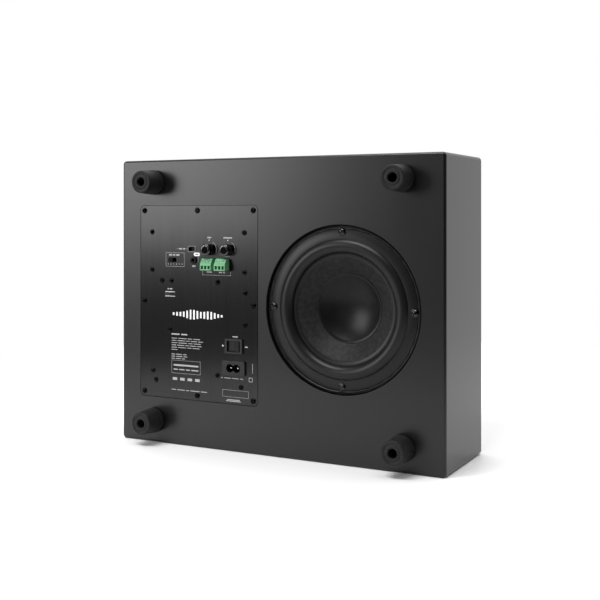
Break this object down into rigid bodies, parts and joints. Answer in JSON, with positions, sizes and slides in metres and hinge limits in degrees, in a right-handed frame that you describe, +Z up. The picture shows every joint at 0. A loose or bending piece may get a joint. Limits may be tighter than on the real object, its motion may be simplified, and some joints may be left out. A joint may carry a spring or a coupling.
{
  "type": "subwoofer",
  "caption": "Slim powered subwoofer: a flat painted box with a recessed driver, an amplifier plate with controls and rubber feet on one face.",
  "frame": {"origin": "centre of the bottom side of the part's box, on the surface that it stands on", "axes": "+Z up, -Y out of the face with the driver, amplifier plate and feet, +X to the right seen from that face"},
  "size_m": [0.392, 0.1432, 0.32],
  "materials": {
    "paint": "fibreboard under dark satin paint",
    "plate": "brushed and anodised black",
    "raw_aluminium": "extruded",
    "foam": "closed-cell foam",
    "rubber": "moulded, matt",
    "black_plastic": "fine texture",
    "knob_plastic": "smooth",
    "green_plastic": "moulded",
    "board": "glass-epoxy board with solder mask",
    "black_steel": "black zinc or coating",
    "steel": "nickel plated",
    "brass": "nickel-plated brass",
    "ferrite": "sintered ferrite",
    "paper": "treated pulp",
    "cloth": "resin-dipped cloth",
    "copper": "enamelled copper on a former"
  },
  "bodies": {
    "cabinet": {"bottom_panel": "paint", "top_panel": "paint", "left_panel": "paint", "right_panel": "paint", "back_panel": "paint", "baffle": "paint", "foot_upper_left": "rubber", "foot_upper_right": "rubber", "foot_lower_left": "rubber", "foot_lower_right": "rubber", "surround": "rubber", "foot_screw_upper_left": "black_steel", "foot_screw_upper_right": "black_steel", "foot_screw_lower_left": "black_steel", "foot_screw_lower_right": "black_steel", "plate_screw_1": "black_steel", "plate_screw_2": "black_steel", "plate_screw_3": "black_steel", "plate_screw_4": "black_steel", "plate_screw_5": "black_steel", "plate_screw_6": "black_steel", "plate_screw_7": "black_steel", "plate_screw_8": "black_steel", "driver_screw_1": "black_steel", "driver_screw_2": "black_steel", "driver_screw_3": "black_steel", "driver_screw_4": "black_steel", "basket": "black_steel", "top_plate": "black_steel", "yoke": "black_steel", "amp_plate": "plate", "amp_gasket": "foam", "driver_gasket": "foam", "control_board": "board", "power_board": "board", "heat_sink": "raw_aluminium", "transformer": "black_plastic", "phase_switch": "black_plastic", "mode_switch": "black_plastic", "trigger_jack": "black_plastic", "rocker_housing": "black_plastic", "ac_inlet": "black_plastic", "pot_gain": "steel", "pot_crossover": "steel", "usb_port": "steel", "terminal_header": "green_plastic", "ac_pin_left": "brass", "ac_pin_right": "brass", "spider": "cloth", "magnet": "ferrite"},
    "cone_assembly": {"cone": "paper", "dust_cap": "paper", "voice_coil": "copper"},
    "gain_knob": {"knob_gain": "knob_plastic"},
    "crossover_knob": {"knob_crossover": "knob_plastic"},
    "phase_slide": {"phase_slider": "black_plastic"},
    "mode_slide": {"mode_slider": "black_plastic"},
    "power_rocker": {"rocker": "black_plastic"},
    "left_plug": {"terminal_plug_left": "green_plastic"},
    "right_plug": {"terminal_plug_right": "green_plastic"}
  },
  "joints": [
    {"name": "cone_travel", "type": "slide", "parent": "cabinet", "child": "cone_assembly", "axis": [0, -1, 0], "range_m": [-0.008, 0.008], "stiffness_N_per_m": 1700, "deforming": ["surround", "spider"]},
    {"name": "gain_turn", "type": "hinge", "parent": "cabinet", "child": "gain_knob", "pos_m": [-0.0535, -0.04435, 0.2196], "axis": [0, -1, 0], "range_deg": [-150, 150]},
    {"name": "crossover_turn", "type": "hinge", "parent": "cabinet", "child": "crossover_knob", "pos_m": [-0.0775, -0.04435, 0.2196], "axis": [0, -1, 0], "range_deg": [-150, 150]},
    {"name": "phase_switching", "type": "slide", "parent": "cabinet", "child": "phase_slide", "axis": [1, 0, 0], "range_m": [-0.0034, 0]},
    {"name": "mode_switching", "type": "slide", "parent": "cabinet", "child": "mode_slide", "axis": [1, 0, 0], "range_m": [0, 0.0054]},
    {"name": "power_switching", "type": "hinge", "parent": "cabinet", "child": "power_rocker", "pos_m": [-0.0454, -0.04235, 0.1148], "axis": [0, 0, 1], "range_deg": [0, 22]},
    {"name": "left_plug_pull", "type": "slide", "parent": "cabinet", "child": "left_plug", "axis": [0, -1, 0], "range_m": [0, 0.012]},
    {"name": "right_plug_pull", "type": "slide", "parent": "cabinet", "child": "right_plug", "axis": [0, -1, 0], "range_m": [0, 0.012]}
  ]
}
